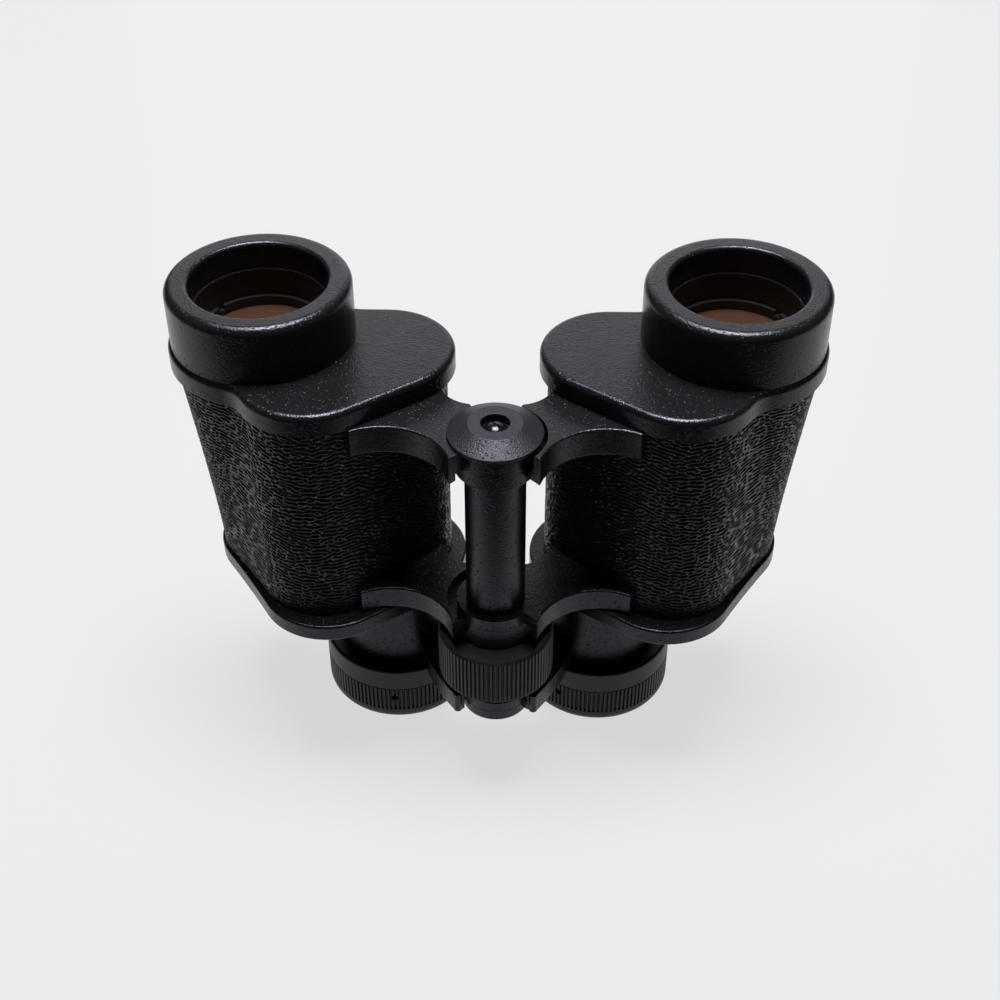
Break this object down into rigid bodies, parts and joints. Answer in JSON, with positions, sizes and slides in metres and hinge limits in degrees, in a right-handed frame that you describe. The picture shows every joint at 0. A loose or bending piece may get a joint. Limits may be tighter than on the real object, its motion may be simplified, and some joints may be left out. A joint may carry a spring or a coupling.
{
  "type": "prism binoculars",
  "caption": "Centre-focus prism binoculars with leatherette housings on a central hinge, standing on knurled eyecups; barrels swing, eyepieces rack on a knurled wheel.",
  "frame": {"origin": "on the floor under the middle of the whole part's box", "axes": "+X from the hinge to the barrel with the dioptre adjustment, +Y from the hinge side to the back, +Z from the eyecups up to the objectives"},
  "size_m": [0.1502, 0.0698, 0.1189],
  "materials": {
    "lacquer": "semi-gloss black stove enamel with a pebbled, pitted surface on cast and turned alloy",
    "leatherette": "matt black embossed leathercloth with a wrinkled grain",
    "anodised": "black anodised, straight knurl",
    "black_plastic": "satin black moulded plastic",
    "blackened_metal": "turned and blackened, matt",
    "brass": "turned",
    "steel": "plain",
    "glass": "polished",
    "coated_glass": "polished, amber anti-reflection coating"
  },
  "bodies": {
    "right_barrel": {"right_housing": "lacquer", "right_leatherette": "leatherette", "right_objective_cover": "lacquer", "right_objective_barrel": "lacquer", "right_objective_cell": "blackened_metal", "right_objective_crown": "coated_glass", "right_objective_flint": "glass", "right_objective_retainer": "blackened_metal", "right_upper_prism": "glass", "right_lower_prism": "glass", "right_prism_clips": "steel", "right_eyepiece_cover": "lacquer", "right_guide_tube": "anodised", "right_cover_screws": "steel", "right_strap_lug": "lacquer", "hinge_axle": "steel", "axle_circlip": "steel", "hinge_tube": "lacquer", "hinge_cap": "lacquer", "cap_screw": "blackened_metal", "hinge_washer": "blackened_metal"},
    "left_barrel": {"left_housing": "lacquer", "left_leatherette": "leatherette", "left_objective_cover": "lacquer", "left_objective_barrel": "lacquer", "left_objective_cell": "blackened_metal", "left_objective_crown": "coated_glass", "left_objective_flint": "glass", "left_objective_retainer": "blackened_metal", "left_upper_prism": "glass", "left_lower_prism": "glass", "left_prism_clips": "steel", "left_eyepiece_cover": "lacquer", "left_guide_tube": "anodised", "left_cover_screws": "steel", "left_strap_lug": "lacquer"},
    "focus_drive": {"focus_wheel": "anodised", "focus_nut": "brass"},
    "right_bridge": {"right_bridge_arm": "lacquer", "right_eyepiece_sleeve": "lacquer", "right_index_ring": "black_plastic", "focus_spindle": "brass", "bridge_bush": "brass", "bridge_end_screw": "blackened_metal"},
    "left_bridge": {"left_bridge_arm": "lacquer", "left_eyepiece_sleeve": "lacquer", "left_index_ring": "black_plastic", "left_lens_tube": "blackened_metal", "left_field_lens": "glass", "left_eye_lens": "coated_glass", "left_eye_lens_ring": "blackened_metal", "left_eyecup": "black_plastic", "left_eyecup_screw": "steel"},
    "right_eye_tube": {"right_lens_tube": "blackened_metal", "right_field_lens": "glass", "right_eye_lens": "coated_glass", "right_eye_lens_ring": "blackened_metal"},
    "right_dioptre": {"right_eyecup": "black_plastic", "right_eyecup_screw": "steel"}
  },
  "joints": [
    {"name": "interpupillary_hinge", "type": "hinge", "parent": "right_barrel", "child": "left_barrel", "pos_m": [0, -0.02125, 0.07], "axis": [0, 0, 1], "range_deg": [0, 60]},
    {"name": "bridge_hinge", "type": "hinge", "parent": "right_bridge", "child": "left_bridge", "pos_m": [0, -0.02125, 0.021], "axis": [0, 0, 1], "range_deg": [0, 60.5]},
    {"name": "focus_slide", "type": "slide", "parent": "right_barrel", "child": "right_bridge", "axis": [0, 0, 1], "range_m": [-0.004, 0.003]},
    {"name": "focus_turn", "type": "hinge", "parent": "right_barrel", "child": "focus_drive", "pos_m": [0, -0.02125, 0.036], "axis": [0, 0, 1], "range_deg": [-180.5, 135.5]},
    {"name": "dioptre_slide", "type": "slide", "parent": "right_bridge", "child": "right_eye_tube", "axis": [0, 0, -1], "range_m": [0, 0.004]},
    {"name": "dioptre_turn", "type": "hinge", "parent": "right_eye_tube", "child": "right_dioptre", "pos_m": [0.0257, 0.00555, 0.006], "axis": [0, 0, 1], "range_deg": [0, 240.5]}
  ],
  "couplings": [
    {"joint": "bridge_hinge", "follows": "interpupillary_hinge", "ratio": 1},
    {"joint": "focus_turn", "follows": "focus_slide", "rad_per_m": 785.4},
    {"joint": "dioptre_turn", "follows": "dioptre_slide", "rad_per_m": 1047.2}
  ]
}
